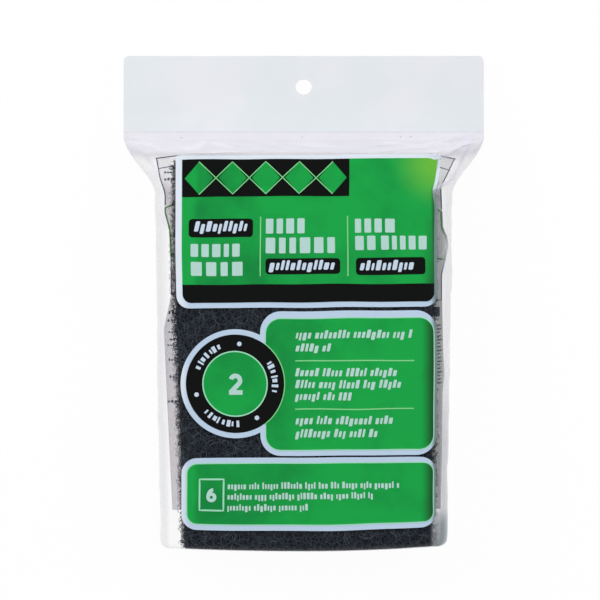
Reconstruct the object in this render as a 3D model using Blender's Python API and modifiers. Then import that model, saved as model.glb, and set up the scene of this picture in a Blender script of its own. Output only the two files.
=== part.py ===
"""Header bag of non-woven steel wool pads, lying on its back.

A flattened tube of clear film holds two layers of three pads. Its mouth is closed by a folded strip of
thicker milky film with a hang hole. X runs across the pack, Y from the bottom edge to the header, and Z
from the back to the printed front. The origin is below the middle of the pack, on its back.
"""

import math

import bmesh
import bpy
from mathutils import Vector

# Pads, each a die-cut slab
PAD_LENGTH = 0.1016
PAD_WIDTH = 0.0508
PAD_THICKNESS = 0.0120
PAD_EDGE_RADIUS = 0.0020
PAD_ROWS = ("bottom", "middle", "top")
PAD_LAYERS = ("back", "front")
ROW_GAP = 0.0005
LAYER_GAP = 0.0003

# Film bag
FILM = 0.0002
FILM_GAP = 0.0003
BAG_FLAT_WIDTH = 0.1422
SIDE_PLAY = 0.0018
SIDE_ROOM_BOTTOM = 0.0057
SIDE_ROOM_TOP = 0.0081
CORNER_RADIUS = 0.0030
SHOULDER_BELOW = 0.0138
SHOULDER_ABOVE = 0.0102
FRONT_OVERHANG = 0.0028
BACK_OVERHANG = 0.0010
LIP_LENGTH = 0.0032
LIP_HEIGHT = 0.0120
MOUTH_GAP = 0.0003
PLEAT_DEPTH = 0.0011
PLEAT_COUNT = 7
FAN_DEPTH = 0.0009
FAN_COUNT = 3
VENT_DIAMETER = 0.0008
VENT_PLACES = (-0.0483, -0.0007, 0.0383, 0.0423)

# Header strip
SHOULDER_LENGTH = 0.0118
HEADER_HEIGHT = 0.0297
HEADER_DROOP = math.radians(14)
HEADER_CORNER_RADIUS = 0.0020
STRIP_LEAF = 0.00025
STRIP_LAP = 0.0045
STRIP_TAPER = 0.0030
STRIP_GAP = 0.0003
HANG_HOLE_DIAMETER = 0.00635
HANG_HOLE_FROM_TOP = 0.0126

# Printed fields. A panel's insets run from the pads' side edges, and what it carries is placed from its corner
INK = 0.0001
BORDER = 0.0024
TOP_PANEL_INSETS = (0.0004, -0.0017)
TOP_PANEL_HEIGHT = 0.0603
TOP_PANEL_ABOVE_PADS = 0.0025
TOP_PANEL_RADIUS = 0.0045
BAND_HEIGHT = 0.0072
PATTERN_SIZE = (0.0658, 0.0141)
PATTERN_FROM_TOP = 0.0020
LOZENGE_COUNT = 5
LOZENGE_MARGIN = 0.0011
COLUMNS = (0.0310, 0.0328)
DIVIDER_WIDTH = 0.0006
DIVIDER_SPAN = (0.0126, 0.0363)
PILL_INSETS = (0.0028, 0.0024, 0.0034)
PILL_SIZES = ((0.0252, 0.0073), (0.0285, 0.0063), (0.0273, 0.0068))
PILL_HEIGHTS = (0.0282, 0.0134, 0.0131)
PILL_RADIUS = 0.0020
MIDDLE_PANEL_SIZE = (0.0695, 0.0567)
MIDDLE_PANEL_PLACE = (-0.0017, 0.0377)
MIDDLE_PANEL_RADIUS = 0.0082
RULES = (0.0181, 0.0373)
RULE_INSETS = (0.0136, 0.0090)
BADGE_PLACE = (0.0237, 0.0660)
BADGE_BORDER_RADIUS = 0.0215
BADGE_RING_RADIUS = 0.0194
BADGE_DISC_RADIUS = 0.0125
BOTTOM_PANEL_INSETS = (0.0027, -0.0014)
BOTTOM_PANEL_HEIGHT = 0.0287
BOTTOM_PANEL_ABOVE_EDGE = 0.0082
BOTTOM_PANEL_RADIUS = 0.0060
COUNT_BOX_PLACE = (0.0072, 0.0077)
COUNT_BOX_SIZE = (0.0095, 0.0125)
COUNT_BOX_LINE = 0.0007

# Smoothness of the faceted forms
FRONT_POINTS = 51
BACK_POINTS = 10
SIDE_POINTS = 7
END_STEPS = 4
SHOULDER_STEPS = 15
ROUND_STEPS = 48
CORNER_STEPS = 5

pad_stack_width = PAD_WIDTH * len(PAD_ROWS) + ROW_GAP * (len(PAD_ROWS) - 1)
pad_stack_depth = PAD_THICKNESS * len(PAD_LAYERS) + LAYER_GAP * (len(PAD_LAYERS) - 1)
pads_bottom = FILM + FILM_GAP
pads_top = pads_bottom + pad_stack_width
body_depth = pad_stack_depth + 2 * (FILM + FILM_GAP)
flat_half_width = PAD_LENGTH / 2 + SIDE_PLAY
front_edge = pads_top + FRONT_OVERHANG
back_edge = pads_top + BACK_OVERHANG
header_edge = pads_top + SHOULDER_LENGTH
lip_start = header_edge - LIP_LENGTH
pack_length = header_edge + HEADER_HEIGHT
mouth_half_depth = FILM + MOUTH_GAP / 2
end_radius = PAD_EDGE_RADIUS + FILM_GAP + FILM


def new_collection(name):
    """A collection linked to the scene."""
    collection = bpy.data.collections.new(name)
    bpy.context.scene.collection.children.link(collection)
    return collection


def new_material(name, colour, roughness, alpha=1.0):
    """A Principled material of one colour."""
    material = bpy.data.materials.new(name)
    material.use_nodes = True
    shader = material.node_tree.nodes["Principled BSDF"]
    shader.inputs["Base Color"].default_value = (*colour, 1.0)
    shader.inputs["Roughness"].default_value = roughness
    shader.inputs["Metallic"].default_value = 0.0
    shader.inputs["Alpha"].default_value = alpha
    return material


def add_object(name, mesh, collection, *materials):
    """An object for the mesh, placed so that the pack's middle is on the origin."""
    for material in materials:
        mesh.materials.append(material)
    obj = bpy.data.objects.new(name, mesh)
    obj.location.y = -pack_length / 2
    collection.objects.link(obj)
    return obj


def mark_cutter(obj):
    """Show a cutter as wire and keep it out of renders."""
    obj.hide_render = True
    obj.display_type = "WIRE"


def add_boolean(obj, operation, cutter):
    """Cut or join the object with another one, or with all that a collection holds."""
    boolean = obj.modifiers.new(operation.lower(), "BOOLEAN")
    boolean.operation = operation
    boolean.solver = "EXACT"
    boolean.material_mode = "TRANSFER"
    if isinstance(cutter, bpy.types.Collection):
        boolean.operand_type = "COLLECTION"
        boolean.collection = cutter
    else:
        boolean.object = cutter


def arc_points(centre, radius, start, turn, steps):
    """Points along an arc from the start angle through the turn, both in radians."""
    points = []
    for index in range(steps + 1):
        angle = start + turn * index / steps
        points.append((centre[0] + radius * math.cos(angle), centre[1] + radius * math.sin(angle)))
    return points


def circle(centre, radius, steps=ROUND_STEPS):
    """A full circle, without its first point twice."""
    return arc_points(centre, radius, 0.0, 2 * math.pi, steps)[:-1]


def rectangle(bounds):
    """The corners of a rectangle given as left, right, bottom and top."""
    left, right, bottom, top = bounds
    return [(left, bottom), (right, bottom), (right, top), (left, top)]


def rounded_rectangle(bounds, radius):
    """A rectangle with an arc at each corner."""
    left, right, bottom, top = bounds
    centres = rectangle((left + radius, right - radius, bottom + radius, top - radius))
    points = []
    for index, centre in enumerate(centres):
        points.extend(arc_points(centre, radius, math.pi * (1 + index / 2), math.pi / 2, CORNER_STEPS))
    return points


def inner(bounds, border):
    """The rectangle that lies a border inside another one."""
    left, right, bottom, top = bounds
    return left + border, right - border, bottom + border, top - border


def prism(name, outline, low, high, collection, material=None):
    """A solid of the outline, from the low to the high level."""
    mesh = bpy.data.meshes.new(name)
    solid = bmesh.new()
    base = solid.faces.new([solid.verts.new((x, y, low)) for x, y in outline])
    raised = bmesh.ops.extrude_face_region(solid, geom=[base])["geom"]
    corners = [item for item in raised if isinstance(item, bmesh.types.BMVert)]
    bmesh.ops.translate(solid, verts=corners, vec=(0, 0, high - low))
    bmesh.ops.recalc_face_normals(solid, faces=solid.faces)
    solid.to_mesh(mesh)
    solid.free()
    obj = add_object(name, mesh, collection, *([material] if material else []))
    mark_cutter(obj)
    return obj


def smoothstep(start, end, value):
    """A smooth ramp from 0 at start to 1 at end."""
    share = min(max((value - start) / (end - start), 0.0), 1.0)
    return share * share * (3 - 2 * share)


def mix(low, high, share):
    """The value a share of the way from low to high."""
    return low + (high - low) * share


def end_inset(height, radius):
    """How far an edge of this radius draws in near the pack's bottom edge."""
    below = max(radius - height, 0.0)
    return radius - math.sqrt(radius * radius - below * below)


def half_width(height):
    """Half the bag's width: slack beside the pads, flaring through the shoulder to the flat width."""
    room = mix(SIDE_ROOM_BOTTOM, SIDE_ROOM_TOP, min(height / pads_top, 1.0))
    flare = smoothstep(pads_top - SHOULDER_BELOW, pads_top + SHOULDER_ABOVE, height)
    width = mix(PAD_LENGTH / 2 + room, BAG_FLAT_WIDTH / 2, flare)
    return width - end_inset(height, CORNER_RADIUS)


def fold_height(height):
    """Height of the side folds above the table: half the body's depth, then the drooping header plane."""
    header = LIP_HEIGHT - math.tan(HEADER_DROOP) * max(height - lip_start, 0.0)
    return mix(body_depth / 2, header, smoothstep(pads_top - SHOULDER_BELOW, lip_start, height))


def film_levels(height):
    """Outer levels of the back and the front film on the middle line."""
    inset = end_inset(height, end_radius)
    middle = fold_height(height)
    back = mix(inset, middle - mouth_half_depth, smoothstep(back_edge, lip_start, height))
    front = mix(body_depth - inset, middle + mouth_half_depth, smoothstep(front_edge, lip_start, height))
    return back, front


def side_profile(share, slackness):
    """Film level beside the pads, 1 over their edge and 0 at the side fold: an arc that slackens to a wedge."""
    arc = math.sqrt(max(1.0 - share * share, 0.0))
    wedge = 1.0 - share
    return mix(arc, wedge, slackness)


def pleat(across, height):
    """Rise of the gathers that the header draws into the front film above the pads."""
    rise = (height - front_edge) / (lip_start - front_edge)
    if not 0.0 < rise < 1.0:
        return 0.0
    return PLEAT_DEPTH * math.sin(math.pi * rise) ** 2 * math.cos(2 * math.pi * PLEAT_COUNT * across)


def fan(share, height):
    """Rise of the folds that fan out from the pads' top corner across the shoulder."""
    run = (height - (pads_top - SHOULDER_BELOW)) / (lip_start - (pads_top - SHOULDER_BELOW))
    if not 0.0 < run < 1.0:
        return 0.0
    window = math.sin(math.pi * share) * math.sin(math.pi * run)
    return FAN_DEPTH * window * math.sin(2 * math.pi * FAN_COUNT * run)


def bag_section(height):
    """One closed cross-section of the bag, as points from the front's left edge round to the back."""
    back, front = film_levels(height)
    middle = fold_height(height)
    edge = half_width(height)
    flat = mix(flat_half_width, edge - 2 * mouth_half_depth, smoothstep(front_edge, lip_start, height))
    slackness = 0.7 * smoothstep(pads_top - SHOULDER_BELOW, front_edge, height)
    slackness *= 1.0 - smoothstep(front_edge, lip_start, height)
    points = []
    for index in range(FRONT_POINTS):
        across = index / (FRONT_POINTS - 1)
        points.append(Vector((mix(-flat, flat, across), height, front + pleat(across, height))))
    for index in range(1, 2 * SIDE_POINTS):
        angle = math.pi / 2 * (1 - index / SIDE_POINTS)
        share = math.cos(angle)
        reach = mix(flat, edge, share)
        level = side_profile(share, slackness)
        if index < SIDE_POINTS:
            points.append(Vector((reach, height, mix(middle, front, level) + fan(share, height))))
        else:
            points.append(Vector((reach, height, mix(middle, back, level))))
    for index in range(BACK_POINTS):
        points.append(Vector((mix(flat, -flat, index / (BACK_POINTS - 1)), height, back)))
    for index in range(1, 2 * SIDE_POINTS):
        angle = math.pi / 2 * (1 - index / SIDE_POINTS)
        share = math.cos(angle)
        reach = mix(flat, edge, share)
        level = side_profile(share, slackness)
        if index < SIDE_POINTS:
            points.append(Vector((-reach, height, mix(middle, back, level))))
        else:
            points.append(Vector((-reach, height, mix(middle, front, level) + fan(share, height))))
    return points


def bag_stations():
    """Heights of the cross-sections: round the bottom edge, up the body, and closer through the shoulder."""
    heights = []
    for index in range(END_STEPS):
        heights.append(end_radius * (1 - math.cos(math.pi / 2 * index / END_STEPS)))
    shoulder_start = pads_top - SHOULDER_BELOW
    heights.extend((max(end_radius, CORNER_RADIUS), shoulder_start / 2, shoulder_start))
    for index in range(1, SHOULDER_STEPS + 1):
        heights.append(mix(shoulder_start, lip_start, (index / SHOULDER_STEPS) ** 0.8))
    mouth = header_edge + (STRIP_LAP - STRIP_GAP) * math.cos(HEADER_DROOP)
    heights.extend((header_edge, mouth))
    return heights


def print_fields(cutters, inks):
    """The printed panels, each field a low prism that starts inside the film's wall."""
    fields = bpy.data.collections.new("print_fields")
    cutters.children.link(fields)
    pads_left = -PAD_LENGTH / 2
    pads_right = PAD_LENGTH / 2

    def field(name, outline, ink, layer):
        low = body_depth - FILM * (0.3 + 0.15 * layer)
        prism(name, outline, low, body_depth + INK * layer, fields, inks[ink])

    def panel(name, bounds, radius):
        field(f"{name}_border", rounded_rectangle(bounds, radius), "border", 1)
        ground = inner(bounds, BORDER)
        field(f"{name}_green", rounded_rectangle(ground, radius - BORDER), "green", 2)
        return ground

    top = pads_top + TOP_PANEL_ABOVE_PADS
    bottom = top - TOP_PANEL_HEIGHT
    bounds = (pads_left + TOP_PANEL_INSETS[0], pads_right - TOP_PANEL_INSETS[1], bottom, top)
    left, right, low, high = panel("top", bounds, TOP_PANEL_RADIUS)
    band = (left, right, low, low + BAND_HEIGHT)
    field("top_band", rounded_rectangle(band, TOP_PANEL_RADIUS - BORDER), "black", 3)
    pattern_top = top - PATTERN_FROM_TOP - BORDER / 2
    pattern = (left, left + PATTERN_SIZE[0], pattern_top - PATTERN_SIZE[1], pattern_top)
    field("pattern_ground", rectangle(pattern), "black", 3)
    pitch = PATTERN_SIZE[0] / LOZENGE_COUNT
    for index in range(LOZENGE_COUNT):
        centre = (left + pitch * (index + 0.5), pattern_top - PATTERN_SIZE[1] / 2)
        lozenge = circle(centre, PATTERN_SIZE[1] / 2 - LOZENGE_MARGIN, 4)
        field(f"pattern_lozenge_{index + 1}", lozenge, "green", 4)
    columns = (left, left + COLUMNS[0], right - COLUMNS[1])
    for index, place in enumerate(columns[1:], start=1):
        line = (place - DIVIDER_WIDTH / 2, place + DIVIDER_WIDTH / 2)
        span = (bottom + DIVIDER_SPAN[0], bottom + DIVIDER_SPAN[1])
        field(f"divider_{index}", rectangle(line + span), "mint", 3)
    for index, (column, inset, size, height) in enumerate(zip(columns, PILL_INSETS, PILL_SIZES, PILL_HEIGHTS)):
        start = column + inset
        pill = (start, start + size[0], bottom + height, bottom + height + size[1])
        field(f"pill_{index + 1}", rounded_rectangle(pill, PILL_RADIUS), "black", 3)

    right = pads_right - MIDDLE_PANEL_PLACE[0]
    low = pads_bottom + MIDDLE_PANEL_PLACE[1]
    bounds = (right - MIDDLE_PANEL_SIZE[0], right, low, low + MIDDLE_PANEL_SIZE[1])
    panel("middle", bounds, MIDDLE_PANEL_RADIUS)
    for index, height in enumerate(RULES, start=1):
        line = (low + height - DIVIDER_WIDTH / 2, low + height + DIVIDER_WIDTH / 2)
        span = (bounds[0] + RULE_INSETS[0], bounds[1] - RULE_INSETS[1])
        field(f"rule_{index}", rectangle(span + line), "mint", 3)

    badge = (pads_left + BADGE_PLACE[0], pads_bottom + BADGE_PLACE[1])
    field("badge_border", circle(badge, BADGE_BORDER_RADIUS), "border", 1.5)
    field("badge_ring", circle(badge, BADGE_RING_RADIUS), "black", 3)
    field("badge_disc", circle(badge, BADGE_DISC_RADIUS), "green", 4)

    low = pads_bottom + BOTTOM_PANEL_ABOVE_EDGE
    sides = (pads_left + BOTTOM_PANEL_INSETS[0], pads_right - BOTTOM_PANEL_INSETS[1])
    panel("bottom", (*sides, low, low + BOTTOM_PANEL_HEIGHT), BOTTOM_PANEL_RADIUS)
    box_left = sides[0] + COUNT_BOX_PLACE[0]
    box_low = low + COUNT_BOX_PLACE[1]
    box = (box_left, box_left + COUNT_BOX_SIZE[0], box_low, box_low + COUNT_BOX_SIZE[1])
    field("count_box", rectangle(box), "mint", 3)
    field("count_box_field", rectangle(inner(box, COUNT_BOX_LINE)), "green", 4)
    return fields


def build_film_bag(collection, cutters, film, inks):
    """The bag: cross-sections joined into a skin, a wall inwards, printed fields and vent holes."""
    mesh = bpy.data.meshes.new("film_bag")
    skin = bmesh.new()
    rings = [[skin.verts.new(point) for point in bag_section(height)] for height in bag_stations()]
    for lower, upper in zip(rings, rings[1:]):
        for index in range(len(lower)):
            following = (index + 1) % len(lower)
            skin.faces.new((lower[index], lower[following], upper[following], upper[index]))
    skin.faces.new(rings[0][::-1])
    skin.to_mesh(mesh)
    skin.free()
    bag = add_object("film_bag", mesh, collection, film)
    wall = bag.modifiers.new("wall", "SOLIDIFY")
    wall.thickness = FILM
    wall.offset = -1
    add_boolean(bag, "UNION", print_fields(cutters, inks))
    vents = bpy.data.collections.new("vents")
    cutters.children.link(vents)
    vent_height = lip_start + LIP_LENGTH / 3
    for index, place in enumerate(VENT_PLACES, start=1):
        outline = circle((place, vent_height), VENT_DIAMETER / 2, 8)
        prism(f"vent_{index}", outline, fold_height(vent_height), body_depth, vents)
    add_boolean(bag, "DIFFERENCE", vents)
    return bag


def build_header_strip(collection, cutters, milky):
    """The header: a strip of thicker film folded over the bag's mouth, with round corners and a hang hole."""
    slot = mouth_half_depth + STRIP_GAP
    leaf = slot + STRIP_LEAF
    length = HEADER_HEIGHT / math.cos(HEADER_DROOP)
    shoulder = STRIP_LAP + STRIP_TAPER
    upper = [(0.0, slot), (0.0, leaf), (STRIP_LAP, leaf), (shoulder, STRIP_LEAF), (length, STRIP_LEAF)]
    lower = [(along, -level) for along, level in reversed(upper)]
    outline = upper + lower + [(STRIP_LAP, -slot), (STRIP_LAP, slot)]
    mesh = bpy.data.meshes.new("header_strip")
    solid = bmesh.new()
    section = [solid.verts.new((-BAG_FLAT_WIDTH / 2, along, level)) for along, level in outline]
    raised = bmesh.ops.extrude_face_region(solid, geom=[solid.faces.new(section)])["geom"]
    corners = [item for item in raised if isinstance(item, bmesh.types.BMVert)]
    bmesh.ops.translate(solid, verts=corners, vec=(BAG_FLAT_WIDTH, 0, 0))
    bmesh.ops.recalc_face_normals(solid, faces=solid.faces)
    solid.to_mesh(mesh)
    solid.free()
    strip = add_object("header_strip", mesh, collection, milky)
    strip.location.y += header_edge
    strip.location.z = fold_height(header_edge)
    strip.rotation_euler.x = -HEADER_DROOP
    half = BAG_FLAT_WIDTH / 2
    blank = (-half, half, -HEADER_HEIGHT, length)
    trims = (
        ("header_outline", rounded_rectangle(blank, HEADER_CORNER_RADIUS), "INTERSECT"),
        ("hang_hole", circle((0.0, length - HANG_HOLE_FROM_TOP), HANG_HOLE_DIAMETER / 2), "DIFFERENCE"),
    )
    for name, shape, operation in trims:
        cutter = prism(name, shape, -2 * leaf, 2 * leaf, cutters)
        cutter.location = strip.location
        cutter.rotation_euler = strip.rotation_euler
        add_boolean(strip, operation, cutter)
    return strip


def build_pad(name, row, layer, collection, fibre):
    """One pad: a slab with rounded edges, in its row from the bottom and its layer from the back."""
    size = (PAD_LENGTH, PAD_WIDTH, PAD_THICKNESS)
    mesh = bpy.data.meshes.new(name)
    slab = bmesh.new()
    bmesh.ops.create_cube(slab, size=1.0)
    bmesh.ops.scale(slab, verts=slab.verts, vec=size)
    slab.to_mesh(mesh)
    slab.free()
    pad = add_object(name, mesh, collection, fibre)
    pad.location.y += pads_bottom + PAD_WIDTH / 2 + row * (PAD_WIDTH + ROW_GAP)
    pad.location.z = pads_bottom + PAD_THICKNESS / 2 + layer * (PAD_THICKNESS + LAYER_GAP)
    edges = pad.modifiers.new("edges", "BEVEL")
    edges.width = PAD_EDGE_RADIUS
    edges.segments = 3
    edges.limit_method = "NONE"
    return pad


for old in list(bpy.data.objects):
    bpy.data.objects.remove(old, do_unlink=True)
parts = new_collection("pad_pack")
cutter_parts = new_collection("cutters")
clear_film = new_material("clear film", (0.80, 0.80, 0.86), 0.12, alpha=0.35)
milky_film = new_material("milky film", (0.75, 0.79, 0.83), 0.40)
dark_fibre = new_material("dark fibre", (0.020, 0.024, 0.030), 0.90)
ink_materials = {
    "border": new_material("pale blue ink", (0.47, 0.60, 0.77), 0.35),
    "green": new_material("green ink", (0.016, 0.352, 0.069), 0.35),
    "black": new_material("black ink", (0.008, 0.008, 0.008), 0.35),
    "mint": new_material("mint ink", (0.36, 0.78, 0.52), 0.35),
}
build_film_bag(parts, cutter_parts, clear_film, ink_materials)
build_header_strip(parts, cutter_parts, milky_film)
for layer_number, layer_name in enumerate(PAD_LAYERS):
    for row_number, row_name in enumerate(PAD_ROWS):
        build_pad(f"pad_{layer_name}_{row_name}", row_number, layer_number, parts, dark_fibre)
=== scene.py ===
import bpy
import numpy as np
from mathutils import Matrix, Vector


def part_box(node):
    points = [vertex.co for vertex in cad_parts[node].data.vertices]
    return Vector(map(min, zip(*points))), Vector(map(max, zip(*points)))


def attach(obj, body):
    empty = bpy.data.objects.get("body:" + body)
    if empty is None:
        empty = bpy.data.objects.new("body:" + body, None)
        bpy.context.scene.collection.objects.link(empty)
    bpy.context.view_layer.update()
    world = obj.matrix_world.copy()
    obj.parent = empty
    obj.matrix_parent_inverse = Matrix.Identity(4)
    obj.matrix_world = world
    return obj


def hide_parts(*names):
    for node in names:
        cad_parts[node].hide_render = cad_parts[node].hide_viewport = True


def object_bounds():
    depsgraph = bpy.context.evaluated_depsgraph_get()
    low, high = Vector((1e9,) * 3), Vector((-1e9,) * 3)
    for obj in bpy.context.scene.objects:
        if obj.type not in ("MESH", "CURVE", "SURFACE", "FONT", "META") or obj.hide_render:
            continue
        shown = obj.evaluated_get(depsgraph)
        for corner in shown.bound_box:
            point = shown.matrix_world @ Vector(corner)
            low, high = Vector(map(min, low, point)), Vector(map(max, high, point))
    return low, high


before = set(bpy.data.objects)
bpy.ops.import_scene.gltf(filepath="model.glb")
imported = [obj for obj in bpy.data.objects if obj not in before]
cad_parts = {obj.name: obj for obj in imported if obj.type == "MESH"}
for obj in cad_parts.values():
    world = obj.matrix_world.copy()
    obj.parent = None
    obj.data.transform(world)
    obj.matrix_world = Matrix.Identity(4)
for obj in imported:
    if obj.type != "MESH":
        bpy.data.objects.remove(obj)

cad_bounds = [list(corner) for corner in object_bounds()]


# The pads
# Six die-cut slabs of springy non-woven fibre lie in two layers of three, their long sides across the bag.
# The fibres are bonded where they cross, curl a little proud of each face and fray along the cut edges.

FILM = 0.0002
FILM_GAP = 0.0003
PAD_EDGE_RADIUS = 0.0020
PAD_END_RADIUS = 0.0006
PAD_SHRINK = np.array((0.00035, -0.00025, 0.00035))
PAD_ROUGHNESS = 0.00022
PAD_WAVELENGTHS = (0.0035, 0.009)
PAD_GRIDS = {"front": (160, 34), "back": (140, 28)}
SAG_LEFT, SAG_RIGHT = 0.0012, 0.0019
SAG_TOP = -0.0580
TUCK = 0.0037
TUCK_TOP = 0.0080
FIBRE_COUNTS = {"front": 2600, "back": 450}
FIBRE_RADIUS = 0.000050
FIBRE_STEPS = 9
FIBRE_LENGTHS = (0.003, 0.008)
FIBRE_CURLS = (0.0018, 0.0080)
FIBRE_OVERHANG = 0.0002
SEAM_OVERHANG = 0.0010
FACE_LIFT = 0.00022
FRAY_LIFT = 0.00060
FRAY_SHARE = 0.30
FRAY_LENGTHS = (0.0010, 0.0032)
TONE_SPREAD = (0.7, 1.4)
BAG_END_RADIUS = PAD_EDGE_RADIUS + FILM_GAP + FILM
SIDE_PLAY = 0.0018
FILM_ROOM = 0.00025
RIGHT_ROLL = 0.0009
RIGHT_ROLL_START = 0.0465
WEB_BEND = 0.0016
WEBS = ((330.0, 0.100, 1.0), (560.0, 0.120, 0.8))

pads_low, pads_high = np.array(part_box("pad_back_bottom")[0]), np.array(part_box("pad_front_top")[1])
bottom_edge = cad_bounds[0][1]
flat_edge = pads_high[0] + SIDE_PLAY


def smooth_noise(points, wavelength, seed, waves=9):
    """A soft random height with a spread of about 0.5: the sum of sine waves in random directions."""
    random = np.random.default_rng(seed)
    directions = random.normal(size=(waves, points.shape[-1]))
    directions /= np.linalg.norm(directions, axis=1, keepdims=True)
    turns = random.uniform(0.6, 1.5, waves) * 2 * np.pi / wavelength
    phases = random.uniform(0, 2 * np.pi, waves)
    return np.sin(points @ (directions.T * turns) + phases).sum(-1) / np.sqrt(2 * waves)


def grid_faces(rows, columns, closed=True):
    """Quads between the rows of a grid of points, with the last column joined to the first if closed."""
    row, column = np.meshgrid(np.arange(rows - 1), np.arange(columns - (0 if closed else 1)), indexing="ij")
    following = (column + 1) % columns
    corners = (row * columns + column, row * columns + following,
               (row + 1) * columns + following, (row + 1) * columns + column)
    return np.stack(corners, -1).reshape(-1, 4)


def settled(points):
    """The points as the bag's sagging bottom edge leaves them: both lower corners lie higher up than its
    middle, by a parabola across the pack, which fades out upwards."""
    rise = np.where(points[:, 0] > 0, SAG_RIGHT, SAG_LEFT) * (points[:, 0] / pads_high[0]) ** 2
    fade = np.clip((SAG_TOP - points[:, 1]) / (SAG_TOP - bottom_edge), 0, 1)
    return points + np.stack((0 * rise, rise * fade ** 1.5, 0 * rise), -1)


def add_piece(name, vertices, faces, material, sharp=False):
    """A smooth mesh object of these points and faces, riding on the pack, its rims kept sharp if asked."""
    mesh = bpy.data.meshes.new(name)
    points = settled(np.asarray(vertices).reshape(-1, 3))
    mesh.from_pydata(points.tolist(), [], [list(face) for face in faces])
    mesh.shade_smooth()
    if sharp:
        mesh.set_sharp_from_angle(angle=np.radians(50))
    mesh.materials.append(material)
    piece = bpy.data.objects.new(name, mesh)
    bpy.context.scene.collection.objects.link(piece)
    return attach(piece, "root")


def srgb(red, green, blue):
    """A colour as the eye names it, 0 to 255, in the linear values that shaders take."""
    share = np.array((red, green, blue)) / 255
    linear = np.where(share <= 0.04045, share / 12.92, ((share + 0.055) / 1.055) ** 2.4)
    return (*linear.tolist(), 1.0)


def feed(tree, node, *places, **values):
    """Inputs of a node, in order or by name: a node or a socket is linked, and anything else is set."""
    for name, value in (*enumerate(places), *values.items()):
        socket = node.inputs[name if isinstance(name, int) else name.replace("_", " ")]
        if isinstance(value, bpy.types.Node):
            value = next(output for output in value.outputs if output.enabled)
        if isinstance(value, bpy.types.NodeSocket):
            tree.links.new(value, socket)
        else:
            socket.default_value = value


def add_node(tree, kind, *places, **values):
    """A shader node. Names in lower case set its properties, and the rest feed its inputs."""
    node = tree.nodes.new(kind)
    for name in [name for name in values if name.islower()]:
        setattr(node, name, values.pop(name))
    feed(tree, node, *places, **values)
    return node


def ramp(tree, value, start=0.0, end=1.0, low=0.0, high=1.0, kind="LINEAR"):
    """A value carried from one range to another and held inside it."""
    return add_node(tree, "ShaderNodeMapRange", interpolation_type=kind, Value=value, From_Min=start,
                    From_Max=end, To_Min=low, To_Max=high)


def smooth_ramp(tree, value, start, end, low=0.0, high=1.0):
    """The same, eased at both ends."""
    return ramp(tree, value, start, end, low, high, "SMOOTHSTEP")


def blend(tree, share, first, second):
    """The first colour faded into the second by a share."""
    return add_node(tree, "ShaderNodeMix", data_type="RGBA", Factor=share, A=first, B=second)


def maths(tree, operation, *values, clamp=False):
    """One operation on values, held between 0 and 1 if asked."""
    return add_node(tree, "ShaderNodeMath", *values, operation=operation, use_clamp=clamp)


def noise(tree, place, scale, detail, roughness=0.5, distortion=0.0):
    """Cloudy noise at a place."""
    return add_node(tree, "ShaderNodeTexNoise", Vector=place, Scale=scale, Detail=detail, Roughness=roughness,
                    Distortion=distortion)


def carried(tree, name):
    """The value that a mesh carries at its points under this name."""
    return add_node(tree, "ShaderNodeAttribute", attribute_name=name).outputs["Fac"]


def add_relief(tree, shader, height, strength, distance):
    """A bump from a height, on the shader's normal."""
    relief = add_node(tree, "ShaderNodeBump", Strength=strength, Distance=distance, Height=height)
    feed(tree, shader, Normal=relief)
    return relief


def new_finish(name, **settings):
    """A material with these settings on its shader, and its tree, its shader and the object's place."""
    material = bpy.data.materials.new(name)
    material.use_nodes = True
    tree = material.node_tree
    shader = tree.nodes["Principled BSDF"]
    feed(tree, shader, **settings)
    return material, tree, shader, add_node(tree, "ShaderNodeTexCoord").outputs["Object"]


def measured(path):
    """A path joined up with its start, and the length run at each of its points."""
    closed = np.concatenate((path, path[:1]))
    return closed, np.concatenate(([0.0], np.cumsum(np.linalg.norm(np.diff(closed, axis=0), axis=1))))


def at_lengths(places, lengths, path):
    """The path's points at these lengths."""
    return np.stack((np.interp(places, lengths, path[:, 0]), np.interp(places, lengths, path[:, 1])), -1)


def evenly_spaced(path, count):
    """This many points at even steps along a closed path."""
    closed, lengths = measured(path)
    return at_lengths(np.linspace(0, lengths[-1], count, endpoint=False), lengths, closed)


def rounded_loop(half_width, half_depth, radius, count):
    """A rectangle with round corners as evenly spaced points: arcs joined by straight runs."""
    angles = np.linspace(0, np.pi / 2, 12)
    parts = [np.array([[0.0, -half_depth]])]
    for quarter, (side, end) in enumerate(((1, -1), (1, 1), (-1, 1), (-1, -1))):
        turn = angles + (quarter - 1) * np.pi / 2
        centre = np.array((side * (half_width - radius), end * (half_depth - radius)))
        parts.append(centre + radius * np.stack((np.cos(turn), np.sin(turn)), -1))
    return evenly_spaced(np.concatenate(parts), count)


def pad_rings(low, high, count, rows):
    """Cross-sections of a slab from one cut end to the other: its loop draws in round each end by an arc,
    and shrinks over the end itself to a point."""
    centre = (low + high) / 2
    half = (high - low) / 2 - PAD_SHRINK
    arc = np.linspace(0, np.pi / 2, 5)
    along = PAD_END_RADIUS * (1 - np.cos(arc))
    inset = PAD_END_RADIUS * (1 - np.sin(arc))
    end = [(0.0, PAD_END_RADIUS, share) for share in (0.001, 0.35, 0.7)]
    end += [(step, draw, 1.0) for step, draw in zip(along, inset)]
    length = 2 * half[1]
    body = [(step, 0.0, 1.0) for step in np.linspace(PAD_END_RADIUS, length - PAD_END_RADIUS, rows)[1:-1]]
    stations = end + body + [(length - step, draw, share) for step, draw, share in reversed(end)]
    rings = []
    for step, draw, share in stations:
        loop = share * rounded_loop(half[0] - draw, half[2] - draw, max(PAD_EDGE_RADIUS - draw, 1e-5), count)
        ring = np.stack((loop[:, 0], np.full(count, step - half[1]), loop[:, 1]), -1)
        rings.append(ring + centre)
    return np.array(rings)


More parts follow.
